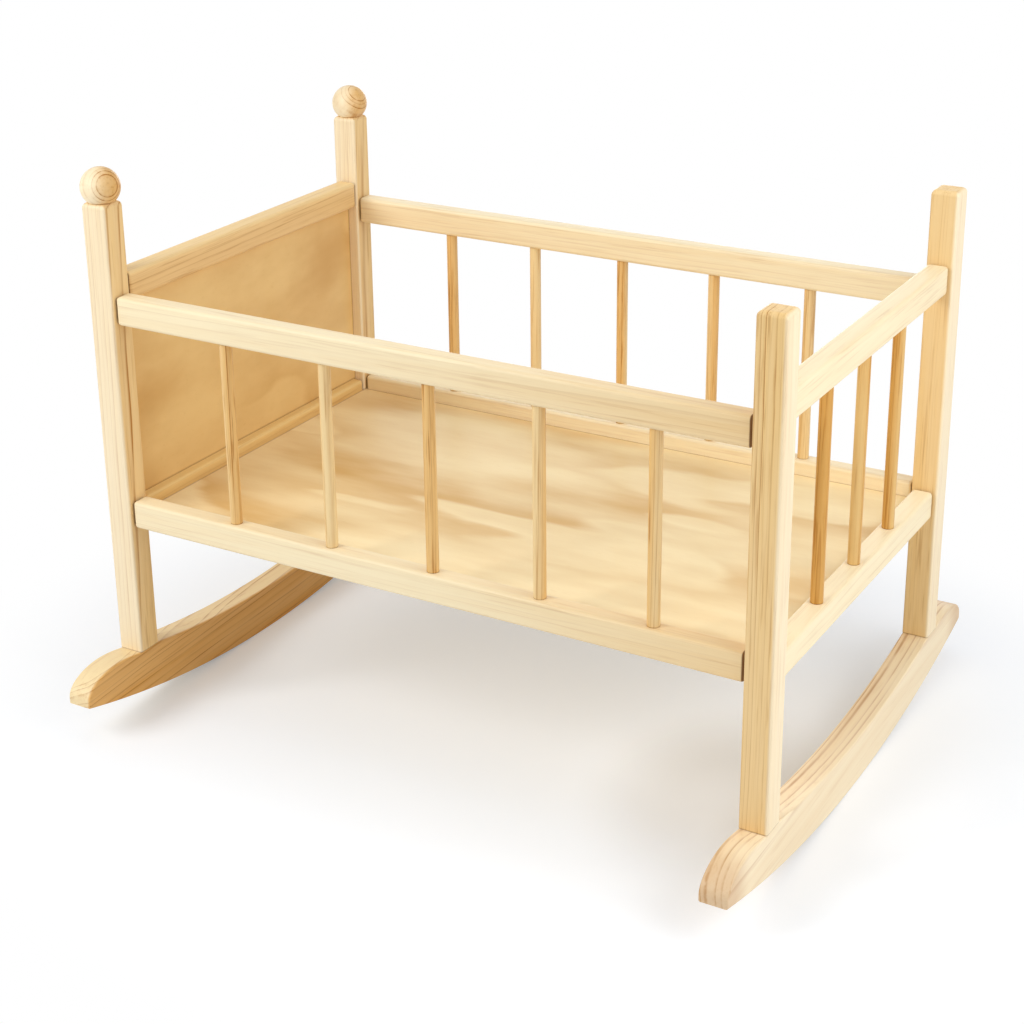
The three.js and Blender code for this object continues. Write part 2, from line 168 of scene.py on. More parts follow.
class Graph:
    """One material's node tree, with a Principled shader at its end."""

    def __init__(self, name: str) -> None:
        """Makes a material of that name."""
        self.material = bpy.data.materials.new(name)
        self.material.use_nodes = True
        self.tree = self.material.node_tree
        self.shader = self.tree.nodes["Principled BSDF"]
        self.output = self.tree.nodes["Material Output"]

    @classmethod
    def over(cls, tree: bpy.types.NodeTree) -> "Graph":
        """Wraps a node tree that is there already, such as the world's."""
        graph = cls.__new__(cls)
        graph.tree = tree
        return graph

    def node(self, kind: str, settings: Optional[dict] = None, inputs: Optional[dict] = None) -> Node:
        """Adds a node.

        Args:
            kind: The node's type.
            settings: Its own settings by name, set first.
            inputs: Values or links for its sockets, by name or by number.

        Returns:
            The new node.
        """
        made = self.tree.nodes.new(kind)
        for name, setting in (settings or {}).items():
            setattr(made, name, setting)
        for name, given in (inputs or {}).items():
            self.feed(made.inputs[name], given)
        return made

    def feed(self, socket: Socket, given: object) -> None:
        """Links a socket or sets its value.

        Args:
            socket: The input socket.
            given: A Value, an output socket, a colour, a vector or a number.
        """
        if isinstance(given, Value):
            given = given.socket
        if isinstance(given, Socket):
            self.tree.links.new(given, socket)
        elif socket.type == "RGBA":
            socket.default_value = (*given, 1.0)
        else:
            socket.default_value = given

    def value(self, kind: str, settings: Optional[dict] = None, inputs: Optional[dict] = None) -> Value:
        """Adds a node and wraps its first number output."""
        made = self.node(kind, settings, inputs)
        numbers = [s for s in made.outputs if s.type == "VALUE" and s.enabled]
        return Value(self, numbers[0])

    def mix(self, share: Number, first: object, second: object) -> Socket:
        """Mixes two colours.

        Args:
            share: How much of the second colour shows.
            first: A colour or a colour socket.
            second: A colour or a colour socket.

        Returns:
            The mixed colour's socket.
        """
        made = self.node("ShaderNodeMix", {"data_type": "RGBA", "clamp_factor": True})
        sockets = {s.identifier: s for s in made.inputs}
        self.feed(sockets["Factor_Float"], share)
        self.feed(sockets["A_Color"], first)
        self.feed(sockets["B_Color"], second)
        return next(s for s in made.outputs if s.identifier == "Result_Color")

    def mix_shaders(self, share: Value, first: Node, second: Node) -> Node:
        """Mixes two shaders, of which the second shows by a share."""
        return self.node("ShaderNodeMixShader", None, {0: share, 1: first.outputs[0], 2: second.outputs[0]})

    def place(self) -> Socket:
        """Returns the place on the piece, in its object's coordinates."""
        return self.node("ShaderNodeTexCoord").outputs["Object"]

    def parts(self, vector: Socket) -> Axes:
        """Splits a vector into its three numbers."""
        made = self.node("ShaderNodeSeparateXYZ", None, {"Vector": vector})
        return tuple(Value(self, made.outputs[axis]) for axis in "XYZ")

    def along(self, start: Place, step: Vector) -> Value:
        """Measures how far the place on the piece lies from a start along a vector, times its length."""
        offset = self.node("ShaderNodeVectorMath", {"operation": "SUBTRACT"}, {0: self.place(), 1: start})
        terms = {0: offset.outputs["Vector"], 1: step}
        return self.value("ShaderNodeVectorMath", {"operation": "DOT_PRODUCT"}, terms)

    def finish(
        self, colour: Socket, roughness: Value, height: Value, bump: float, **constants: float
    ) -> Material:
        """Feeds the Principled shader and returns the finished material.

        Args:
            colour: The base colour.
            roughness: The roughness.
            height: The height of the fine relief, as a share of its depth.
            bump: How firmly the relief shows.
            constants: The shader's constant sockets, with _ for the spaces in their names.
        """
        inputs = {"Strength": bump, "Distance": RELIEF_DEPTH, "Height": height}
        relief = self.node("ShaderNodeBump", None, inputs)
        looks = {"Base Color": colour, "Roughness": roughness, "Normal": relief.outputs["Normal"]}
        looks.update({name.replace("_", " "): constant for name, constant in constants.items()})
        for name, given in looks.items():
            self.feed(self.shader.inputs[name], given)
        return self.material


@dataclass(frozen=True)
class Pattern:
    """A noise pattern.

    Scale is how often it changes along each of three directions, per metre. Seed sets it apart from a piece's
    other patterns, and detail is how much fine detail it has.
    """

    scale: Place
    seed: float = 0.0
    detail: float = 2.0
    roughness: float = 0.55

    def draw(self, g: Graph, place: Axes, seed: float) -> Value:
        """Adds the pattern to a material.

        Args:
            g: The material's graph.
            place: Where on the piece, as three distances.
            seed: The piece's own seed.

        Returns:
            The pattern, about 0 to 1.
        """
        scaled = {axis: part * times for axis, part, times in zip("XYZ", place, self.scale)}
        settings = {
            "Vector": g.node("ShaderNodeCombineXYZ", None, scaled).outputs["Vector"],
            "W": seed + self.seed,
            "Scale": 1.0,
            "Detail": self.detail,
            "Roughness": self.roughness,
        }
        return g.value("ShaderNodeTexNoise", {"noise_dimensions": "4D"}, settings)

    def stretched(self, times: Place) -> "Pattern":
        """Returns the pattern with its scale multiplied along each direction."""
        return replace(self, scale=tuple(own * by for own, by in zip(self.scale, times)))


@dataclass(frozen=True)
class Grain:
    """How a piece was cut from its log.

    Along is the direction of the log's middle line, and the heart is a place on it. No ring lies within the
    pith. Where the piece has both woods, honey heartwood at the first place of turning is pale sapwood at the
    second, and each wood goes on beyond its place; on several pieces the turning follows the light, so the
    pale side is also a painted highlight and the honey side a painted shade. The piece darkens at the two
    places of
    ends: end grain where a sawn end shows, and a painted shade where an end meets another piece. Latewood is
    its share of each ring, and sapwood_lines is how firm its lines are in sapwood.
    """

    along: Place
    heart: Place
    ring: float = 0.0055
    strength: float = 0.5
    seed: float = 0.0
    turning: Optional[tuple[Place, Place]] = None
    pith: float = 0.0
    wander: float = 1.0
    ends: Optional[tuple[Place, Place]] = None
    latewood: float = 0.23
    sapwood_lines: float = 0.45


@dataclass(frozen=True)
class Pine:
    """Clear lacquered pine: pale sapwood, honey heartwood, orange-brown latewood lines and fine fibres."""

    BROAD: ClassVar[Pattern] = Pattern((55, 55, 2.4), 5.9)
    NARROW: ClassVar[Pattern] = Pattern((260, 260, 11), 8.3)
    FINE: ClassVar[Pattern] = Pattern((620, 620, 21), 2.7)
    FIBRE: ClassVar[Pattern] = Pattern((1500, 1500, 26), 1.3, 3.0)
    WANDER: ClassVar[Pattern] = Pattern((11, 11, 2.6))
    DRIFT: ClassVar[Pattern] = Pattern((34, 34, 7.0), 3.1, 1.0)
    UNEVEN: ClassVar[Pattern] = Pattern((80, 80, 80), 7.7, 0.0)

    sap: Colour = srgb("FDEBC8")
    honey: Colour = srgb("E3B473")
    late: Colour = srgb("B0701F")
    # The dark of the ends: end grain, and a painted shade where ends meet other pieces.
    end: Colour = srgb("6A3E12")
    end_depth: float = 0.0010
    end_share: float = 0.9
    streaks: float = 0.28
    broad_share: float = 0.65
    heartwood_share: float = 0.8
    heartwood_lines: float = 0.9
    dashes: float = 0.33
    fibres: float = 0.09
    year_end: float = 0.95
    roughness: float = 0.40
    coat: float = 0.05
    bump: float = 0.10

    def material(self, name: str, grain: Grain) -> Material:
        """Makes the pine of one piece.

        Args:
            name: The material's name.
            grain: How the piece lay in its log.

        Returns:
            The finished material.
        """
        g = Graph(name)
        log_axes = self._log_axes(g, grain)
        radius = self._radius(g, log_axes, grain)
        patterns = self.BROAD, self.NARROW, self.FINE, self.FIBRE
        broad, narrow, fine, fibre = (pattern.draw(g, log_axes, grain.seed) for pattern in patterns)
        streak = broad.rise(Rise.BROAD_STREAK) * self.broad_share
        streak = streak + narrow.rise(Rise.NARROW_STREAK) * (1 - self.broad_share)
        # Honey heartwood, and on pieces whose turning follows the light, painted shade as well.
        heartwood = 1 - self._turn_to_pale(g, *grain.turning) if grain.turning else 0.5
        share = streak * self.streaks
        if grain.turning:
            share = share + heartwood * self.heartwood_share
        ground = g.mix(share, self.sap, self.honey)
        more_lines = self.heartwood_lines - grain.sapwood_lines
        firm = (0.35 + broad * 1.1) * (grain.sapwood_lines + more_lines * heartwood)
        lines = self._lines(g, radius, grain) * firm * (0.45 + narrow.rise(Rise.FIRM_LINE)) * grain.strength
        patches = 0.25 + narrow.rise(Rise.DASH_PATCH)
        dashes = fine.rise(Rise.DASH) * patches * firm * self.dashes
        ringed = g.mix(lines, g.mix(dashes, ground, self.late), self.late)
        colour = g.mix(fibre.rise(Rise.FIBRE) * self.fibres, ringed, self.late)
        if grain.ends:
            colour = g.mix(self._end_grain_and_joint_shade(g, *grain.ends), colour, self.end)
        return g.finish(
            colour,
            self.roughness + fibre * 0.12 - lines * 0.08,
            fibre * 0.6 - lines * 0.5,
            self.bump,
            Coat_Weight=self.coat,
            Coat_Roughness=0.20,
            Specular_IOR_Level=0.30,
            IOR=1.45,
        )

    @staticmethod
    def _log_axes(g: Graph, grain: Grain) -> Axes:
        """Turns a place on the piece into a place in its log: two distances across it and one along it."""
        turn = Vector(grain.along).normalized().rotation_difference(Vector((0, 0, 1))).to_matrix()
        settings = {
            "Vector": g.place(),
            "Location": -(turn @ Vector(grain.heart)),
            "Rotation": turn.to_euler(),
        }
        return g.parts(g.node("ShaderNodeMapping", None, settings).outputs["Vector"])

    @staticmethod
    def _turn_to_pale(g: Graph, honey: Place, pale: Place) -> Value:
        """Rises from 0 at one place, the honey heartwood's, to 1 at another, the pale sapwood's; where the
        places follow the light, this is painted shade and highlight as well.
        """
        step = Vector(pale) - Vector(honey)
        return g.along(honey, step / step.length_squared).steps(0.0, 1.0)

    def _end_grain_and_joint_shade(self, g: Graph, first: Place, second: Place) -> Value:
        """Rises from 0 along the piece to 1 at its two ends: end grain that took up more lacquer where a sawn
        end shows, and a painted shade where an end meets another piece.
        """
        half = (Vector(second) - Vector(first)) / 2
        from_middle = abs(g.along(tuple(Vector(first) + half), half / half.length))
        start, full = half.length - self.end_depth, half.length - 0.2 * self.end_depth
        return from_middle.steps(start, full) * self.end_share

    def _radius(self, g: Graph, log_axes: Axes, grain: Grain) -> Value:
        """Measures the distance from the log's heart, with the slow wander of a grown tree."""
        wander, drift = (pattern.draw(g, log_axes, grain.seed) for pattern in (self.WANDER, self.DRIFT))
        x = log_axes[0] + (wander - 0.5) * (grain.wander * grain.ring * 1.7)
        y = log_axes[1] + (drift - 0.5) * (grain.wander * grain.ring * 1.1)
        return (x * x + y * y) ** 0.5

    def _lines(self, g: Graph, radius: Value, grain: Grain) -> Value:
        """Draws the latewood lines, each year's line with a width and a firmness of its own."""
        uneven = self.UNEVEN.draw(g, (radius, radius, radius), grain.seed)
        years = (radius - grain.pith).above(0.0) / grain.ring + uneven * 2.2
        share = years.fraction()
        year = {"W": years.floor() + grain.seed}
        firmness = g.value("ShaderNodeTexWhiteNoise", {"noise_dimensions": "1D"}, year)
        band = share.rise(Rise.EARLYWOOD) * (1 - share.rise(Rise.BAND_END))
        thin = share.steps(self.year_end - grain.latewood, self.year_end)
        thin = thin * (1 - share.rise(Rise.LATEWOOD_END))
        beyond_pith = radius.steps(grain.pith * 0.9, grain.pith + 0.0001)
        return (band * 0.14 + thin * 0.70) * (0.10 + firmness * 0.90) * beyond_pith


class Bench:
    """Shaping moves for one piece at a time, each a Blender operator on a selection made by place."""

    @staticmethod
    def clear() -> None:
        """Deselects everything, because an operator acts on all that is selected."""
        if bpy.context.object and bpy.context.object.mode != "OBJECT":
            bpy.ops.object.mode_set(mode="OBJECT")
        bpy.ops.object.select_all(action="DESELECT")

    @classmethod
    def choose(cls, piece: Object) -> None:
        """Selects one piece alone."""
        cls.clear()
        piece.select_set(True)
        bpy.context.view_layer.objects.active = piece

    @classmethod
    def block(cls, name: str, low: Vector, high: Vector) -> Object:
        """Adds a block between two corners.

        Args:
            name: The piece's name.
            low: Its lowest corner.
            high: Its highest corner.

        Returns:
            The new piece, its object at the origin.
        """
        cls.clear()
        middle = (Vector(low) + Vector(high)) / 2
        bpy.ops.mesh.primitive_cube_add(size=1, location=middle, scale=Vector(high) - Vector(low))
        return cls.settle(name)

    @classmethod
    def rod(cls, name: str, low: Vector, high: Vector, sides: int) -> Object:
        """Adds an upright round rod between two corners.

        Args:
            name: The piece's name.
            low: Its lowest corner.
            high: Its highest corner.
            sides: How many sides the round has.

        Returns:
            The new piece, its object at the origin.
        """
        cls.clear()
        radius, depth, middle = (high.x - low.x) / 2, high.z - low.z, (low + high) / 2
        bpy.ops.mesh.primitive_cylinder_add(vertices=sides, radius=radius, depth=depth, location=middle)
        return cls.settle(name)

    @staticmethod
    def settle(name: str) -> Object:
        """Names the active object and puts its place into its mesh."""
        piece = bpy.context.active_object
        piece.name = name
        piece.data.name = name
        bpy.ops.object.transform_apply(location=True, rotation=True, scale=True)
        return piece

    @classmethod
    def edit(cls, piece: Object) -> None:
        """Opens a piece in edit mode with nothing selected."""
        cls.choose(piece)
        bpy.ops.object.mode_set(mode="EDIT")
        bpy.ops.mesh.select_all(action="DESELECT")

    @staticmethod
    def pick_edges(piece: Object, wanted: Callable[[Vector, Vector], bool]) -> None:
        """Selects the edges of the piece in edit mode whose two ends pass a test."""
        bpy.ops.mesh.select_mode(type="EDGE")
        mesh = bmesh.from_edit_mesh(piece.data)
        for edge in mesh.edges:
            edge.select_set(wanted(edge.verts[0].co, edge.verts[1].co))
        bmesh.update_edit_mesh(piece.data)

    @staticmethod
    def pick_faces(piece: Object, wanted: Callable[[Vector, Vector], bool]) -> None:
        """Selects the faces of the piece in edit mode whose middle and normal pass a test."""
        bpy.ops.mesh.select_mode(type="FACE")
        mesh = bmesh.from_edit_mesh(piece.data)
        for face in mesh.faces:
            face.select_set(wanted(face.calc_center_median(), face.normal))
        bmesh.update_edit_mesh(piece.data)

    @classmethod
    def copy(cls, piece: Object, name: str, shift: Vector) -> Object:
        """Copies a piece, with a mesh of its own, to another place.

        Args:
            piece: The piece to copy.
            name: The copy's name.
            shift: How far the copy is moved.

        Returns:
            The copy, its object at the origin.
        """
        cls.choose(piece)
        bpy.ops.object.duplicate(linked=False)
        bpy.ops.transform.translate(value=shift)
        return cls.settle(name)

    @classmethod
    def finish(cls, piece: Object, angle: float = 35.0) -> Object:
        """Closes edit mode, smooths the piece's round faces and keeps its large faces flat."""
        cls.choose(piece)
        bpy.ops.object.shade_smooth_by_angle(angle=math.radians(angle))
        bpy.ops.object.modifier_add(type="WEIGHTED_NORMAL")
        piece.modifiers[-1].keep_sharp = True
        bpy.ops.object.modifier_apply(modifier=piece.modifiers[-1].name)
        return piece


def paint(piece: Object, material: Material) -> None:
    """Gives a piece its one material."""
    piece.data.materials.clear()
    piece.data.materials.append(material)
    log.info("%s: %d faces in %s", piece.name, len(piece.data.polygons), material.name)


def dress(piece: Object, node: str, pine: Pine, grain: Grain) -> None:
    """Gives a piece its pine and puts it in the place of its CAD node.

    Args:
        piece: The finished piece.
        node: The CAD node that it stands for.
        pine: The wood that it is made of.
        grain: How it was cut from its log.
    """
    paint(piece, pine.material(f"pine of {node}", grain))
    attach(piece, "root")
    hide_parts(node)


class Kind(ABC):
    """A kind of piece that the cradle has several of: one is shaped, and the others are its copies."""

    @abstractmethod
    def shape(self, name: str, low: Vector, high: Vector) -> Object:
        """Shapes one piece.

        Args:
            name: The piece's name.
            low: Its CAD solid's lowest corner.
            high: Its CAD solid's highest corner.

        Returns:
            The shaped piece, its object at the origin.
        """

    def repeat(self, nodes: Iterable[str], old: str, new: str) -> dict[str, Object]:
        """Shapes the first of several like pieces and copies it to the others' places.

        Args:
            nodes: The CAD nodes of the like pieces.
            old: What their names have in common.
            new: What the pieces' names have in its place.

        Returns:
            The pieces, by their nodes.
        """
        first, *others = nodes
        master = self.shape(first.replace(old, new), *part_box(first))
        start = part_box(first)[0]
        pieces = {first: master}
        for node in others:
            pieces[node] = Bench.copy(master, node.replace(old, new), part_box(node)[0] - start)
        return pieces


@dataclass
class Posts(Kind):
    """The four square posts, with eased long edges and rounded tops."""

    edge: float = 0.0016
    top: float = 0.0040
    top_rings: int = 5
    # How deep the pale band lies under the most lit face: sapwood and painted light together.
    sapwood: float = 0.0032
    pale_share: float = 0.2
    pine: Pine = Pine(honey=srgb("F2CD8C"), dashes=0.38, end_share=0.35)

    def build(self) -> None:
        """Makes and dresses the four posts."""
        grains = {
            "post_head_front": Grain(
                (0.006, 0.012, 1), (-0.40, -0.21, 0.2), 0.0040, 1.3, 1.0, wander=1.3, sapwood_lines=0.30
            ),
            "post_head_back": Grain(
                (0.006, 0.010, 1), (-0.40, 0.12, 0.2), 0.0044, 1.1, 2.0, wander=1.3, sapwood_lines=0.30
            ),
            "post_foot_front": Grain(
                (0.004, 0, 1), (0.160, -0.167, 0), 0.0034, 1.2, 3.0, wander=1.8, sapwood_lines=0.30
            ),
            "post_foot_back": Grain((0.006, 0.002, 1), (0.160, 0.167, 0), 0.0044, 0.4, 4.0, wander=1.6),
        }
        for node, post in self.repeat(grains, "post_", "square_post_").items():
            low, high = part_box(node)
            # Painted light with the wood's tone: the pale sapwood is put on the face the lamps light most,
            # the front at the head and +X at the foot, and the other faces turn honey as painted shade.
            lit_pale_face = Vector((0, low.y, 0)) if "head" in node else Vector((high.x, 0, 0))
            inward = Vector((0, self.sapwood, 0)) if "head" in node else Vector((-self.sapwood, 0, 0))
            foot = Vector(((low.x + high.x) / 2, (low.y + high.y) / 2, low.z))
            beyond_top = Vector((foot.x, foot.y, high.z + self.top))
            turning = tuple(lit_pale_face + inward), tuple(lit_pale_face + inward * self.pale_share)
            grain = replace(grains[node], turning=turning, ends=(tuple(foot), tuple(beyond_top)))
            dress(post, node, self.pine, grain)

    def shape(self, name: str, low: Vector, high: Vector) -> Object:
        """Shapes one post: a block, eased along its edges, with its top drawn up in rings."""
        shoulder = high.z - self.top
        piece = Bench.block(name, low, Vector((high.x, high.y, shoulder)))
        Bench.edit(piece)
        Bench.pick_edges(piece, lambda a, b: abs(a.z - b.z) > self.top)
        bpy.ops.mesh.bevel(offset=self.edge, segments=3, affect="EDGES")
        Bench.pick_faces(piece, lambda middle, normal: normal.z > 0.9)
        half = (high.x - low.x) / 2
        width, level = half, shoulder
        for step in range(1, self.top_rings + 1):
            angle = math.pi / 2 * step / self.top_rings
            next_width = half - self.top * (1 - math.cos(angle))
            next_level = shoulder + self.top * math.sin(angle)
            bpy.ops.mesh.extrude_region_move(TRANSFORM_OT_translate={"value": (0, 0, next_level - level)})
            scale = next_width / width
            bpy.ops.transform.resize(value=(scale, scale, 1))
            width, level = next_width, next_level
        return Bench.finish(piece)


@dataclass
class Rails(Kind):
    """The eight rails, with rounded long edges and ends."""

    rounding: float = 0.0029
    segments: int = 4
    # How far the front rails' dark foot ends are drawn in, so that a painted shade shows in the gap beside
    # the foot-front post.
    foot_gap_shade_inset: float = 0.0015
    # The front rails turn from pale at the head end to honey towards the foot end: a painted shade that
    # follows the key lamp's fall-off, with the wood's own tone.
    front_shade_turning: tuple[Place, Place] = ((0.50, 0, 0), (-0.08, 0, 0))
    pine: Pine = Pine(sap=srgb("FEEEC8"), honey=srgb("EBC07A"), dashes=0.22)
    # The head rails turn pale along their tops and honey below: a painted highlight where the top edge
    # catches the light, with the wood's heartwood.
    head_top_highlight_turning: tuple[Place, Place] = ((0, 0, 0.364), (0, 0, 0.374))
    head_bottom_highlight_turning: tuple[Place, Place] = ((0, 0, 0.175), (0, 0, 0.185))
    # Darker copies of the rails' pine for the two head rails: painted shade, the lower rail's deeper.
    painted_shade_pine: Pine = Pine(sap=srgb("FADA9F"), honey=srgb("EBC58A"))
    low_painted_shade_pine: Pine = Pine(sap=srgb("F2D08C"), honey=srgb("E2BA78"))

    def build(self) -> None:
        """Makes and dresses the eight rails."""
        # The head rails take the pines with painted shade.
        shaded = {"rail_head_top": self.painted_shade_pine, "rail_head_bottom": self.low_painted_shade_pine}
        sides = {
            "rail_front_top": Grain((1, 0, 0.012), (0, -0.10, 0.26), 0.0046, 0.45, 11.0, self.front_shade_turning),
            "rail_front_bottom": Grain(
                (1, 0, 0.010), (0, -0.22, 0.09), 0.0052, 0.40, 12.0, self.front_shade_turning
            ),
            "rail_back_top": Grain((1, 0, 0.008), (0, 0.20, 0.43), 0.0046, 0.40, 13.0),
            "rail_back_bottom": Grain((1, 0.003, 0.006), (0, 0.10, 0.10), 0.0052, 0.30, 14.0),
        }
        ends = {
            "rail_foot_top": Grain((0, 1, 0.010), (0.20, 0, 0.45), 0.0054, 0.20, 17.0),
            "rail_foot_bottom": Grain((0, 1, 0.010), (0.22, 0, 0.08), 0.0054, 0.20, 18.0),
            "rail_head_top": Grain(
                (0, 1, 0.020), (-0.24, 0, 0.25), 0.0042, 0.50, 15.0, self.head_top_highlight_turning
            ),
            "rail_head_bottom": Grain(
                (0, 1, 0.015), (-0.20, 0, 0.12), 0.0048, 0.36, 16.0, self.head_bottom_highlight_turning
            ),
        }
        for grains in (sides, ends):
            for node, rail in self.repeat(grains, "rail_", "rounded_rail_").items():
                low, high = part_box(node)
                # Painted shade: the front rails' dark ends are drawn in at the foot, to show in the gap at
                # the post.
                gap_shade_inset = Vector((self.foot_gap_shade_inset if "front" in node else 0, 0, 0))
                grain = replace(grains[node], ends=self.ends(low, high - gap_shade_inset))
                dress(rail, node, shaded.get(node, self.pine), grain)

    @staticmethod
    def ends(low: Vector, high: Vector) -> tuple[Place, Place]:
        """Returns the middles of the two sawn ends of the rail between two corners."""
        middle, size = (low + high) / 2, high - low
        half = Vector((size.x, 0, 0)) / 2 if size.x > size.y else Vector((0, size.y, 0)) / 2
        return tuple(middle - half), tuple(middle + half)

    def shape(self, name: str, low: Vector, high: Vector) -> Object:
        """Shapes one rail: a block, rounded along its edges."""
        piece = Bench.block(name, low, high)
        Bench.edit(piece)
        bpy.ops.mesh.select_all(action="SELECT")
        bpy.ops.mesh.bevel(offset=self.rounding, segments=self.segments, affect="EDGES")
        return Bench.finish(piece)


@dataclass
class Spindles(Kind):
    """The thirteen round spindles, which stand in blind holes in the rails."""

    sides: int = 32
    chamfer: float = 0.0006
    heart_distance: float = 0.016
    heart_turn: float = 2.4
    turning_shares: Spot = (0.2, -0.25)
    ring: float = 0.0030
    strength: float = 1.4
    first_seed: float = 20.0
    rows: dict[str, int] = field(default_factory=lambda: {"front": 5, "back": 5, "foot": 3})
    pine: Pine = Pine(sap=srgb("F7DCA6"), honey=srgb("EDC17C"), end_share=0.5, streaks=0.6, dashes=0.85)
    foot_pine: Pine = Pine(sap=srgb("E9C482"), honey=srgb("DAA555"), end_share=0.5, streaks=0.6, dashes=0.85)

    def build(self) -> None:
        """Makes and dresses every spindle."""
        longest = max(self.rows.values())
        for row_number, (row, count) in enumerate(self.rows.items()):
            pine = self.foot_pine if row == "foot" else self.pine
            nodes = [f"spindle_{row}_{i}" for i in range(1, count + 1)]
            spindles = self.repeat(nodes, "spindle_", "round_spindle_")
            for number, (node, spindle) in enumerate(spindles.items(), longest * row_number):
                dress(spindle, node, pine, self.grain(number, node, row))

    def grain(self, number: int, node: str, row: str) -> Grain:
        """Cuts one spindle from its log, turned by its number, with a painted shade where it enters the
        rails.
        """
        middle = sum(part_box(node), Vector()) / 2
        turn = self.heart_turn * number
        away = Vector((math.cos(turn), math.sin(turn), 0)) * self.heart_distance
        turning = tuple(tuple(middle + away * share) for share in self.turning_shares)
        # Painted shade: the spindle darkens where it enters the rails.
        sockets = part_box(f"rail_{row}_bottom")[1].z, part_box(f"rail_{row}_top")[0].z
        ends = tuple((middle.x, middle.y, z) for z in sockets)
        heart = tuple(middle + away)
        return Grain(
            (0.006, 0.004, 1), heart, self.ring, self.strength, self.first_seed + number, turning, ends=ends
        )

    def shape(self, name: str, low: Vector, high: Vector) -> Object:
        """Shapes one spindle: a rod, eased at both ends."""
        piece = Bench.rod(name, low, high, self.sides)
        Bench.edit(piece)
        Bench.pick_edges(piece, lambda a, b: abs(a.z - b.z) < self.chamfer)
        bpy.ops.mesh.bevel(offset=self.chamfer, segments=2, affect="EDGES")
        return Bench.finish(piece)


@dataclass
class Finials(Kind):
    """The two turned balls on the head posts, each with a flat seat."""

    segments: int = 64
    rings: int = 40
    seat_edge: float = 0.0004
    seat_margin: float = 1e-6
    # Towards this side each ball turns honey and away from it pale: wood tone and painted shade together, the
    # pale side facing the lamps.
    honey_shade_side: Place = (0.864, 0.503, 0)
    turning_shares: Spot = (0.6, -0.35)
    first_seed: int = 41
    pine: Pine = Pine(sap=srgb("FFEDC8"), honey=srgb("E4B36A"))

    def build(self) -> None:
        """Makes and dresses the two balls."""
        directions = {"finial_front": (0.882, -0.401, 0.246), "finial_back": (0.69, -0.10, 0.72)}
        side = Vector(self.honey_shade_side)
        balls = self.repeat(directions, "finial_", "turned_ball_")
        for seed, (node, ball) in enumerate(balls.items(), self.first_seed):
            middle, radius = self.ball(*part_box(node))
            turning = tuple(tuple(middle + side * radius * share) for share in self.turning_shares)
            grain = Grain(
                directions[node], tuple(middle), 0.0021, 2.6, seed, turning, 0.0072, 0.8,
                latewood=0.3, sapwood_lines=0.15,
            )
            dress(ball, node, self.pine, grain)

    @staticmethod
    def ball(low: Vector, high: Vector) -> tuple[Vector, float]:
        """Returns the middle and the radius of the ball between two corners, with its seat cut off."""
        radius = (high.x - low.x) / 2
        return Vector(((low.x + high.x) / 2, (low.y + high.y) / 2, high.z - radius)), radius

    def shape(self, name: str, low: Vector, high: Vector) -> Object:
        """Shapes one ball: a sphere, cut off at its seat and eased round the cut."""
        middle, radius = self.ball(low, high)
        Bench.clear()
        bpy.ops.mesh.primitive_uv_sphere_add(
            segments=self.segments, ring_count=self.rings, radius=radius, location=middle
        )
        piece = Bench.settle(name)
        Bench.edit(piece)
        bpy.ops.mesh.select_all(action="SELECT")
        bpy.ops.mesh.bisect(plane_co=(0, 0, low.z), plane_no=(0, 0, 1), clear_inner=True, use_fill=True)
        Bench.pick_edges(piece, lambda a, b: max(a.z, b.z) < low.z + self.seat_margin)
        bpy.ops.mesh.bevel(offset=self.seat_edge, segments=2, affect="EDGES")
        return Bench.finish(piece)


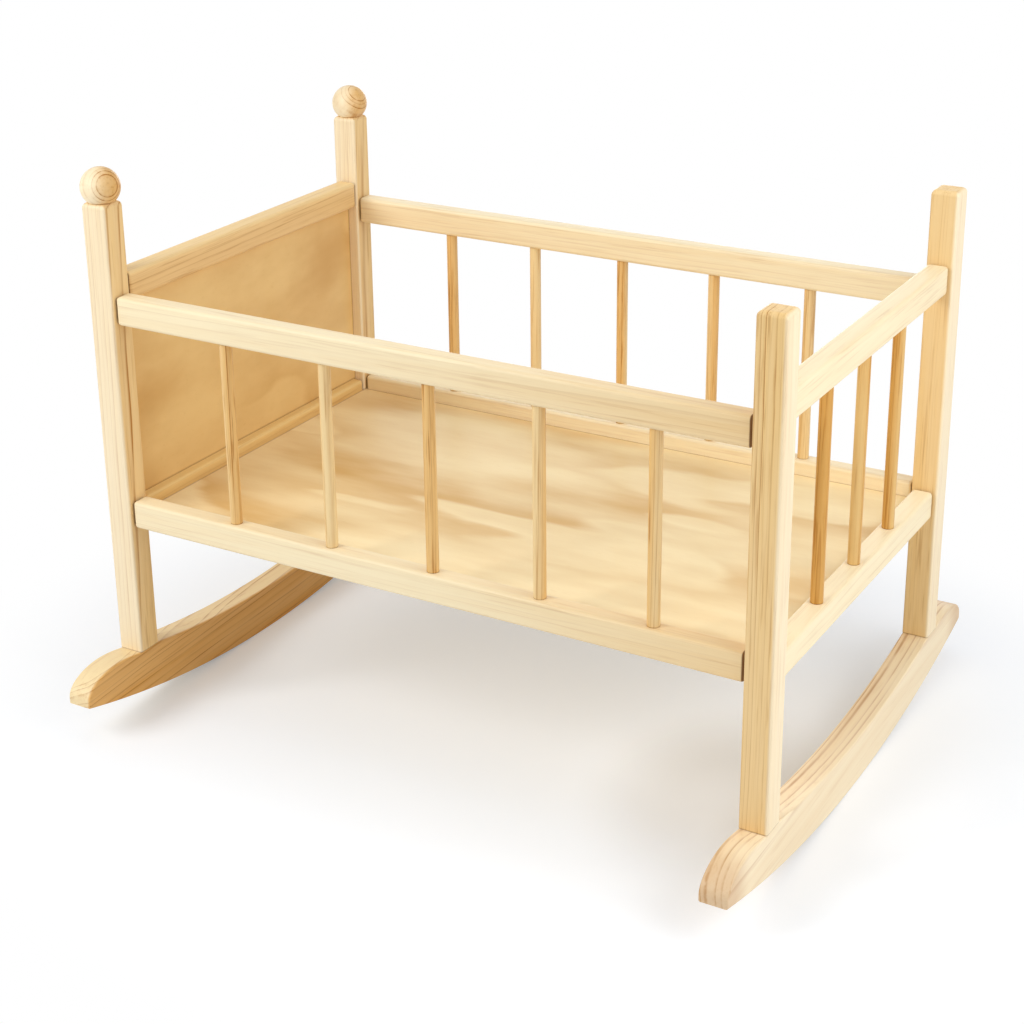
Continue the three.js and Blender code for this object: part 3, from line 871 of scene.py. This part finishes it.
@dataclass
class Rockers(Kind):
    """The two curved rockers, sawn from board and eased along their edges."""

    sole_radius: float = 0.920
    post_outer: float = 0.178
    post_inner: float = 0.156
    waist: float = 0.039
    crest_rise: float = 0.0035
    crest: float = 0.028
    tip: float = 0.005
    seat: float = 0.0527
    edge: float = 0.0014
    nose_steps: int = 14
    crest_steps: int = 5
    waist_steps: int = 16
    sole_steps: int = 40
    start_size: float = 0.01
    same_x: float = 1e-5
    # The head rocker turns honey on its inner face, which lies in shade under the cradle: painted shade with
    # the wood's heartwood.
    head_shade_turning: tuple[Place, Place] = ((-0.2642, 0, 0), (-0.2670, 0, 0))
    foot_turning: tuple[Place, Place] = ((0.235, 0, 0), (0.286, 0, 0))
    foot_ends: tuple[Place, Place] = ((0, -0.243, 0), (0, 0.243, 0))
    pine: Pine = Pine(end=srgb("B87C3C"), end_depth=0.040, end_share=0.40)
    # A darker copy of the rockers' pine for the head rocker: painted shade.
    painted_shade_pine: Pine = Pine(sap=srgb("FAE3B3"), honey=srgb("E2A855"))

    def build(self) -> None:
        """Makes and dresses the two rockers."""
        grains = {
            "rocker_head": Grain(
                (0, 1, 0.05), (-0.22, 0, -0.06), 0.0050, 1.4, 51.0, self.head_shade_turning, wander=1.4
            ),
            "rocker_foot": Grain(
                (0, 1, 0.03), (0.12, 0, 0.02), 0.0048, 2.3, 52.0, self.foot_turning, 0.0, 0.6,
                ends=self.foot_ends, latewood=0.34, sapwood_lines=0.25,
            ),
        }
        pines = {"rocker_head": self.painted_shade_pine, "rocker_foot": self.pine}
        for node, rocker in self.repeat(grains, "rocker_", "curved_rocker_").items():
            dress(rocker, node, pines[node], grains[node])

    def outline(self, reach: float) -> list[Spot]:
        """Works out the rocker's outline, seen along X.

        Args:
            reach: How far the nose reaches from the middle.

        Returns:
            The places (Y, Z) going once round: the sole from -Y to +Y, then the top back again.
        """
        crest_at = self.post_outer + self.crest
        quarter = [math.pi / 2 * i / self.nose_steps for i in range(1, self.nose_steps + 1)]
        nose = [crest_at + (reach - crest_at) * math.sin(angle) for angle in quarter]
        shoulder = [self.post_outer + self.crest * i / self.crest_steps for i in range(self.crest_steps + 1)]
        waist = [self.post_inner * i / self.waist_steps for i in range(self.waist_steps + 1)]
        top = [(y, self.upper(y, reach)) for y in waist + shoulder + nose]
        along = [reach * i / self.sole_steps for i in range(self.sole_steps + 1)]
        sole = [(y, self.sole(y)) for y in along]
        under = [(-y, z) for y, z in sole[:0:-1]] + sole
        over = top[::-1] + [(-y, z) for y, z in top[1:]]
        return under + over

    def sole(self, y: float) -> float:
        """Returns the sole's level at a place along Y."""
        return self.sole_radius - math.sqrt(self.sole_radius ** 2 - y ** 2)

    def upper(self, y: float, reach: float) -> float:
        """Returns the top's level at a place along Y: the waist, the seats of the posts, then the nose."""
        y = abs(y)
        dip = self.seat - self.waist
        if y <= self.post_inner:
            radius = (self.post_inner ** 2 + dip ** 2) / (2 * dip)
            return self.waist + radius - math.sqrt(radius ** 2 - y ** 2)
        if y <= self.post_outer:
            return self.seat
        crest_at = self.post_outer + self.crest
        if y <= crest_at:
            share = (y - self.post_outer) / self.crest
            return self.seat + self.crest_rise * math.sin(math.pi / 2 * share)
        share = min(1.0, (y - crest_at) / (reach - crest_at))
        tip = self.sole(reach) + self.tip
        top = self.seat + self.crest_rise
        return tip + (top - tip) * math.sqrt(max(0.0, 1 - share ** 2))

    def shape(self, name: str, low: Vector, high: Vector) -> Object:
        """Shapes one rocker: a point is drawn out along the outline, filled, drawn out sideways and eased."""
        places = self.outline(high.y)
        Bench.clear()
        bpy.ops.mesh.primitive_plane_add(size=self.start_size, location=(low.x, *places[0]))
        piece = Bench.settle(name)
        Bench.edit(piece)
        bpy.ops.mesh.select_mode(type="VERT")
        bpy.ops.mesh.select_all(action="SELECT")
        bpy.ops.mesh.merge(type="CENTER")
        for (y, z), (next_y, next_z) in zip(places, places[1:]):
            bpy.ops.mesh.extrude_vertices_move(TRANSFORM_OT_translate={"value": (0, next_y - y, next_z - z)})
        bpy.ops.mesh.select_all(action="SELECT")
        bpy.ops.mesh.edge_face_add()
        bpy.ops.mesh.extrude_region_move(TRANSFORM_OT_translate={"value": (high.x - low.x, 0, 0)})
        bpy.ops.mesh.select_all(action="SELECT")
        bpy.ops.mesh.normals_make_consistent(inside=False)
        Bench.pick_edges(piece, lambda a, b: abs(a.x - b.x) < self.same_x)
        bpy.ops.mesh.bevel(offset=self.edge, segments=3, affect="EDGES")
        return Bench.finish(piece, 30.0)


@dataclass(frozen=True)
class Plywood:
    """Rotary-cut plywood face: broad soft figure that runs along the sheet, and fine pores."""

    BROAD: ClassVar[Pattern] = Pattern((1, 1, 1))
    SOFT: ClassVar[Pattern] = Pattern((3, 3, 3), 4.0, 3.0)
    PORES: ClassVar[Pattern] = Pattern((45, 45, 45), 9.0)
    PATCHES: ClassVar[Pattern] = Pattern((1.2, 1.2, 1.2), 6.0, 1.0)

    light: Colour = srgb("FFECBE")
    dark: Colour = srgb("D8AC66")
    # Painted shade along the grooves at the sheet's edges.
    groove_shade: Colour = srgb("8A5E30")
    groove_shade_width: float = 0.0022
    groove_shade_share: float = 0.55
    figure: float = 0.64
    cloud: float = 0.30
    speckle: float = 0.12
    roughness: float = 0.46
    coat: float = 0.04
    bump: float = 0.08

    def material(self, name: str, stretch: Place, seed: float, shown: tuple[Vector, Vector]) -> Material:
        """Makes the plywood of one sheet.

        Args:
            name: The material's name.
            stretch: How often the figure changes along X, Y and Z, per metre.
            seed: Which part of the pattern the sheet shows.
            shown: The lowest and highest corners of the part that shows between the rails and posts.

        Returns:
            The finished material.
        """
        g = Graph(name)
        axes = g.parts(g.place())
        patterns = self.BROAD, self.SOFT, self.PORES, self.PATCHES
        broad, soft, pores, patches = (pattern.stretched(stretch).draw(g, axes, seed) for pattern in patterns)
        layers = (broad * 3.0 + soft * 0.5).fraction()
        wedge = layers.rise(Rise.PLY_WEDGE) * (1 - layers.rise(Rise.BAND_END))
        share = wedge * patches.rise(Rise.PLY_PATCH) * self.figure + soft.rise(Rise.PLY_SOFT) * self.cloud
        colour = g.mix(share, self.light, self.dark)
        speckled = g.mix(pores.rise(Rise.PLY_PORE) * self.speckle, colour, self.dark)
        groove_shaded = g.mix(self._groove_shade(axes, *shown) * self.groove_shade_share, speckled, self.groove_shade)
        roughness = self.roughness + pores * 0.08
        return g.finish(groove_shaded, roughness, pores, self.bump, Specular_IOR_Level=0.30, Coat_Weight=self.coat)

    def _groove_shade(self, axes: Axes, low: Vector, high: Vector) -> Value:
        """Rises to 1 at the edge of the part that shows: a painted shade along the groove where the sheet
        meets the rails and posts.
        """
        middle, half = (low + high) / 2, (high - low) / 2
        spans = [i for i in range(3) if half[i] > self.groove_shade_width * 4]
        first, second = (half[i] - abs(axes[i] - middle[i]) for i in spans)
        return 1 - first.below(second).steps(0.0, self.groove_shade_width)


@dataclass
class Sheets:
    """The plywood head panel and base board, which keep their CAD shapes."""

    # The panel's plywood is darker than the board's: painted shade, as the panel faces into the cradle at its
    # head end.
    panel: Plywood = Plywood(light=srgb("EFCC8C"), dark=srgb("CA9750"), figure=0.50)
    panel_stretch: Place = (4, 4, 8)
    panel_seed: float = 5.0
    board: Plywood = Plywood()
    board_stretch: Place = (2.4, 9.5, 6)
    board_seed: float = 8.0

    def build(self) -> None:
        """Gives both sheets their finish."""
        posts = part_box("post_head_front")[1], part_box("post_foot_back")[0]
        head_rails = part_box("rail_head_bottom")[1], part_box("rail_head_top")[0]
        inner_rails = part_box("rail_front_bottom")[1].y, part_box("rail_back_bottom")[0].y
        panel = (
            Vector((posts[0].x, posts[0].y, head_rails[0].z)),
            Vector((posts[0].x, posts[1].y, head_rails[1].z)),
        )
        board = (
            Vector((head_rails[0].x, inner_rails[0], 0)),
            Vector((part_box("rail_foot_bottom")[0].x, inner_rails[1], 0)),
        )
        panel_finish = "plywood of the head panel", self.panel_stretch, self.panel_seed, panel
        board_finish = "plywood of the base board", self.board_stretch, self.board_seed, board
        paint(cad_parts["panel_head"], self.panel.material(*panel_finish))
        paint(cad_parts["board_base"], self.board.material(*board_finish))


@dataclass
class Dowels:
    """The dowels and pins inside the joints, which keep their CAD shapes."""

    ring: float = 0.002
    strength: float = 0.4
    pine: Pine = Pine(sap=srgb("DCBD8C"), honey=srgb("CFA76C"), late=srgb("B98A52"))

    def build(self) -> None:
        """Gives every dowel and pin its finish."""
        cuts = {
            "x": ("dowel wood along the length", (1, 0, 0), (0, 0, 0.3)),
            "y": ("dowel wood along the width", (0, 1, 0), (0, 0, 0.3)),
            "z": ("dowel wood upright", (0, 0, 1), (0, 0.3, 0)),
        }
        finishes = {
            axis: self.pine.material(name, Grain(along, heart, self.ring, self.strength))
            for axis, (name, along, heart) in cuts.items()
        }
        for node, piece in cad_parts.items():
            if node.startswith(("dowel_", "finial_pin_")):
                low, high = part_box(node)
                size = high - low
                paint(piece, finishes["xyz"[max(range(3), key=lambda i: size[i])]])


@dataclass(frozen=True)
class SoftBox:
    """A soft box: where it stands, what it points at, its size in metres and its power in watts."""

    place: Place
    target: Place
    width: float
    height: float
    power: float


class Lamp(Enum):
    """The studio's soft boxes."""

    LEFT_FRONT = SoftBox((-0.95, -1.35, 1.25), (-0.25, -0.1, 0.25), 0.9, 0.9, 17.3)
    RIGHT = SoftBox((1.25, -0.25, 0.75), (0.25, 0.0, 0.22), 0.8, 0.9, 6.2)
    RIGHT_HIGH = SoftBox((1.2, 0.1, 1.3), (0.2, 0.0, 0.2), 0.9, 0.9, 3.2)
    TOP = SoftBox((0.1, 0.2, 1.9), (0.0, 0.0, 0.2), 1.6, 1.4, 4.3)
    BACK = SoftBox((-0.55, 1.5, 0.40), (-0.05, 0.1, 0.28), 1.0, 0.55, 4.2)


@dataclass
class Studio:
    """A white floor, soft boxes and the camera at the photograph's angle.

    The camera's numbers were solved together with the cradle's sizes. Each oval on the floor has a middle, a
    reach and a fade, counted in reaches: within the shadow's oval the floor keeps the lamps' shadow and
    beyond it turns white, and the rocker's oval is a painted shade, where the floor's glow is taken away.
    """

    focal_share: float = 1980.63 / 1024
    azimuth: float = 30.21
    elevation: float = 20.76
    roll: float = -0.65
    distance: float = 1.5774
    target: Place = (-0.01296, 0.0, 0.26069)
    shift_y: float = (400.0 - 512.0) / 1024
    sensor: float = 36.0
    world: float = 0.40
    floor_size: float = 40.0
    floor_white: float = 0.21
    matt_colour: Colour = (0.835, 0.85, 0.878)
    glow_colour: Colour = (0.91, 1.0, 1.11)
    shadow_middle: Spot = (0.03, 0.0)
    shadow_reach: Spot = (0.33, 0.285)
    shadow_fade: Spot = (1.0, 1.7)
    # A painted shade on the floor beside the foot rocker, where the floor's glow is taken away.
    painted_rocker_shade_middle: Spot = (0.20, -0.06)
    painted_rocker_shade_reach: Spot = (0.11, 0.15)
    painted_rocker_shade_fade: Spot = (0.2, 1.0)

    def build(self) -> None:
        """Sets up the camera, the light and the floor."""
        self.place_camera()
        self.light()
        self.lay_floor()

    def place_camera(self) -> None:
        """Places the camera as the photograph's perspective gives it."""
        turn, tilt, roll = (math.radians(a) for a in (self.azimuth, self.elevation, self.roll))
        level = math.cos(tilt)
        forward = Vector((-math.sin(turn) * level, math.cos(turn) * level, -math.sin(tilt)))
        right = Vector((math.cos(turn), math.sin(turn), 0))
        up = right.cross(forward)
        rolled_right = right * math.cos(roll) + up * math.sin(roll)
        rolled_up = up * math.cos(roll) - right * math.sin(roll)
        place = Vector(self.target) - forward * self.distance
        data = bpy.data.cameras.new("camera")
        data.sensor_width = self.sensor
        data.lens = self.sensor * self.focal_share
        data.shift_y = self.shift_y
        camera = bpy.data.objects.new("camera", data)
        facing = Matrix((rolled_right, rolled_up, -forward)).transposed().to_4x4()
        camera.matrix_world = Matrix.Translation(place) @ facing
        bpy.context.scene.collection.objects.link(camera)
        bpy.context.scene.camera = camera

    def light(self) -> None:
        """Sets the view, the world and the soft boxes."""
        bpy.context.scene.view_settings.view_transform = "Standard"
        world = bpy.data.worlds.new("studio")
        world.use_nodes = True
        sky = world.node_tree.nodes["Background"]
        sky.inputs["Color"].default_value = (1.0, 1.0, 1.0, 1.0)
        g = Graph.over(world.node_tree)
        levels = {"Value": self.seen(g), "To Min": self.world, "To Max": 1.0}
        g.feed(sky.inputs["Strength"], g.value("ShaderNodeMapRange", None, levels))
        bpy.context.scene.world = world
        for lamp in Lamp:
            soft = lamp.value
            data = bpy.data.lights.new(lamp.name.lower(), "AREA")
            data.shape = "RECTANGLE"
            data.size, data.size_y = soft.width, soft.height
            data.energy = soft.power
            box = bpy.data.objects.new(lamp.name.lower(), data)
            box.location = soft.place
            box.rotation_mode = "QUATERNION"
            box.rotation_quaternion = (Vector(soft.target) - Vector(soft.place)).to_track_quat("-Z", "Y")
            bpy.context.scene.collection.objects.link(box)

    @staticmethod
    def seen(g: Graph) -> Value:
        """Returns 1 for rays that show the surroundings themselves, and 0 for those that only carry light."""
        path = g.node("ShaderNodeLightPath").outputs
        return g.value(
            "ShaderNodeMath",
            {"operation": "MAXIMUM", "use_clamp": True},
            {
                0: path["Is Camera Ray"],
                1: Value(g, path["Is Glossy Ray"]) + Value(g, path["Is Transmission Ray"]),
            },
        )

    @staticmethod
    def from_middle(g: Graph, middle: Spot, reach: Spot) -> Value:
        """Measures how far a place on the floor is from the middle of an oval, with 1 on the oval's edge."""
        place = g.parts(g.place())
        across, deep = ((place[i] - middle[i]) / reach[i] for i in range(2))
        return (across * across + deep * deep) ** 0.5

    def lay_floor(self) -> None:
        """Lays the pale floor, which keeps the cradle's shadow, turns white away from it and has a painted
        shade beside the foot rocker.
        """
        Bench.clear()
        bpy.ops.mesh.primitive_plane_add(size=self.floor_size, location=(0, 0, 0))
        floor = Bench.settle("floor")
        g = Graph("floor")
        g.tree.nodes.remove(g.shader)
        matt = g.node("ShaderNodeBsdfDiffuse", None, {"Color": self.matt_colour})
        glow = g.node("ShaderNodeEmission", None, {"Color": self.glow_colour, "Strength": self.floor_white})
        lifted = g.node("ShaderNodeAddShader", None, {0: matt.outputs[0], 1: glow.outputs[0]})
        white = g.node("ShaderNodeEmission", None, {"Strength": 1.0})
        from_shadow = self.from_middle(g, self.shadow_middle, self.shadow_reach)
        from_painted_shade = self.from_middle(g, self.painted_rocker_shade_middle, self.painted_rocker_shade_reach)
        # Painted shade: beside the foot rocker the floor keeps no glow and shows darker.
        shaded = g.mix_shaders(from_painted_shade.steps(*self.painted_rocker_shade_fade), matt, lifted)
        shown = g.mix_shaders(from_shadow.steps(*self.shadow_fade), shaded, white)
        surface = g.mix_shaders(self.seen(g), matt, shown)
        g.feed(g.output.inputs["Surface"], surface.outputs[0])
        floor.data.materials.append(g.material)


def main() -> None:
    """Builds the studio and the cradle."""
    logging.basicConfig(level=logging.INFO, format="%(name)s: %(message)s", stream=sys.stdout)
    for part in (Studio(), Posts(), Rails(), Spindles(), Finials(), Rockers(), Sheets(), Dowels()):
        part.build()
        log.info("%s built", type(part).__name__)
    Bench.clear()


if __name__ == "__main__":
    main()
